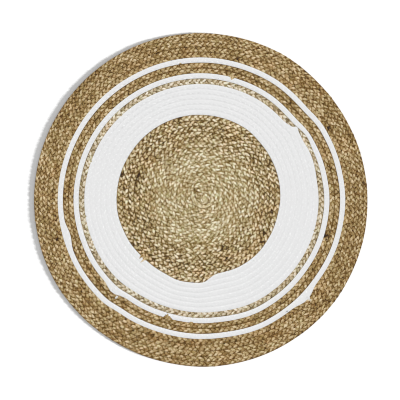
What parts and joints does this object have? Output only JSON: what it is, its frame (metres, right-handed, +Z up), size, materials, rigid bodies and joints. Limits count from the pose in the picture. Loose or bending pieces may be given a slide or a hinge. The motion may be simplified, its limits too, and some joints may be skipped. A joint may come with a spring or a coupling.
{
  "type": "round braided jute rug",
  "caption": "Round flat rug of plaited jute braid coiled and sewn edge to edge, with white cotton rings let into the jute.",
  "frame": {"origin": "on the floor, under the middle of the rug's outline", "axes": "+Z up out of the rug's face; +X to the right and +Y to the top of the picture, which looks straight down"},
  "size_m": [1.1989, 1.1998, 0.0095],
  "materials": {
    "coil_jute": "pale natural jute, matt plaited braid",
    "band_white_wide": "white cotton braid, matt and smooth",
    "ring_jute_single": "blonde jute, matt plaited braid",
    "ring_white_inner": "white cotton braid, matt and smooth",
    "band_jute_middle": "brown natural jute, matt plaited braid",
    "ring_white_outer": "white cotton braid, matt and smooth",
    "band_jute_border": "brown natural jute, matt plaited braid"
  },
  "bodies": {
    "root": {"coil_jute": "coil_jute", "band_white_wide": "band_white_wide", "ring_jute_single": "ring_jute_single", "ring_white_inner": "ring_white_inner", "band_jute_middle": "band_jute_middle", "ring_white_outer": "ring_white_outer", "band_jute_border": "band_jute_border"}
  },
  "joints": []
}
